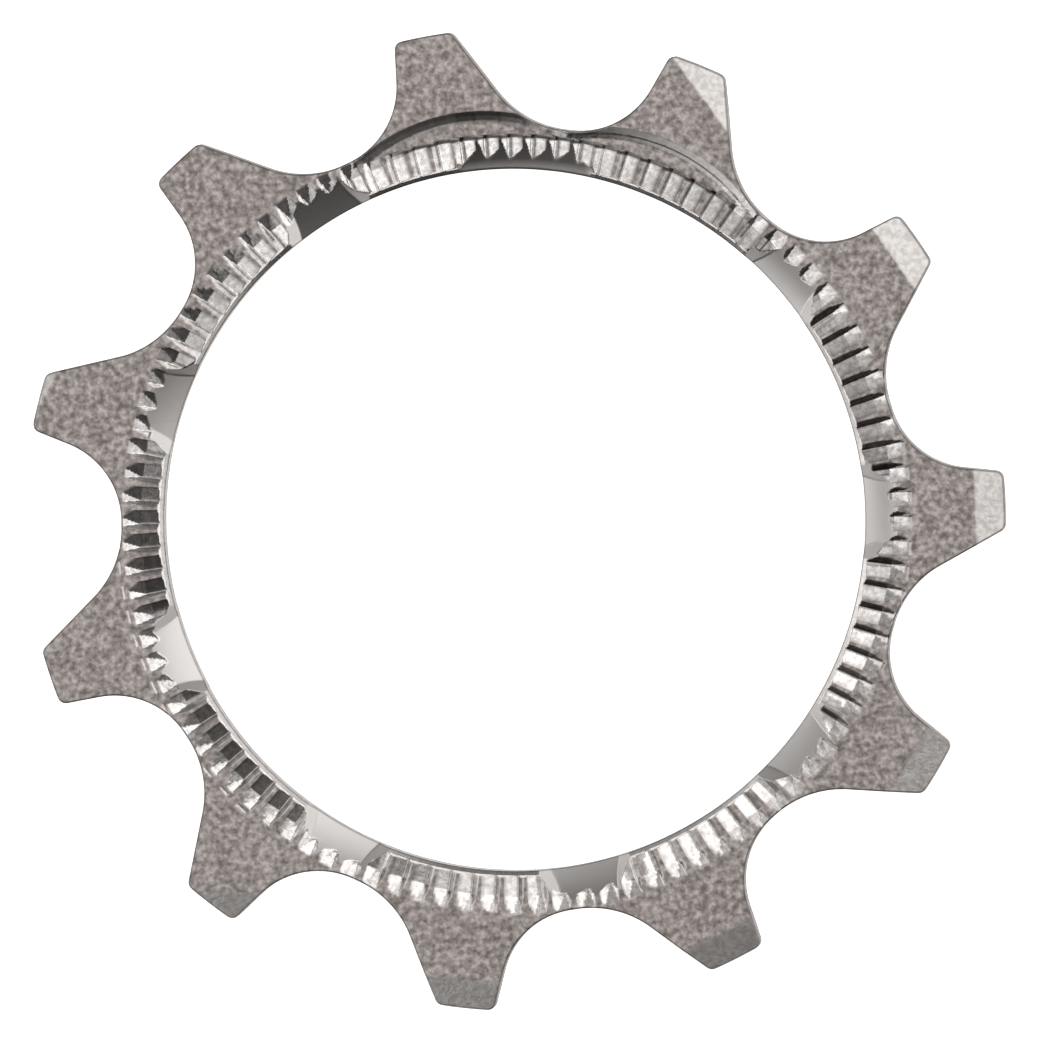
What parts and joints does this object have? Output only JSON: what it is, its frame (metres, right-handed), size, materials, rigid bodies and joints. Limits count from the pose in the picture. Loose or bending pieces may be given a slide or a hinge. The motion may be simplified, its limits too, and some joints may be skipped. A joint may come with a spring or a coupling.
{
  "type": "bicycle cassette cog",
  "caption": "Small forged cassette cog with asymmetric teeth, a spline shoulder behind and a ratchet ring round the bore for the lockring.",
  "frame": {"origin": "on the cog's axis, at the back of the toothed plate, where the round lip of the bore starts", "axes": "+Z along the cog's axis, out of the ratcheted front face; +X near the middle of the first tooth"},
  "size_m": [0.0461, 0.0464, 0.0037],
  "materials": {
    "coined_steel": "satin plated steel, grainy on the flat face and bright on the ratchet ring"
  },
  "bodies": {
    "root": {"cog": "coined_steel"}
  },
  "joints": []
}
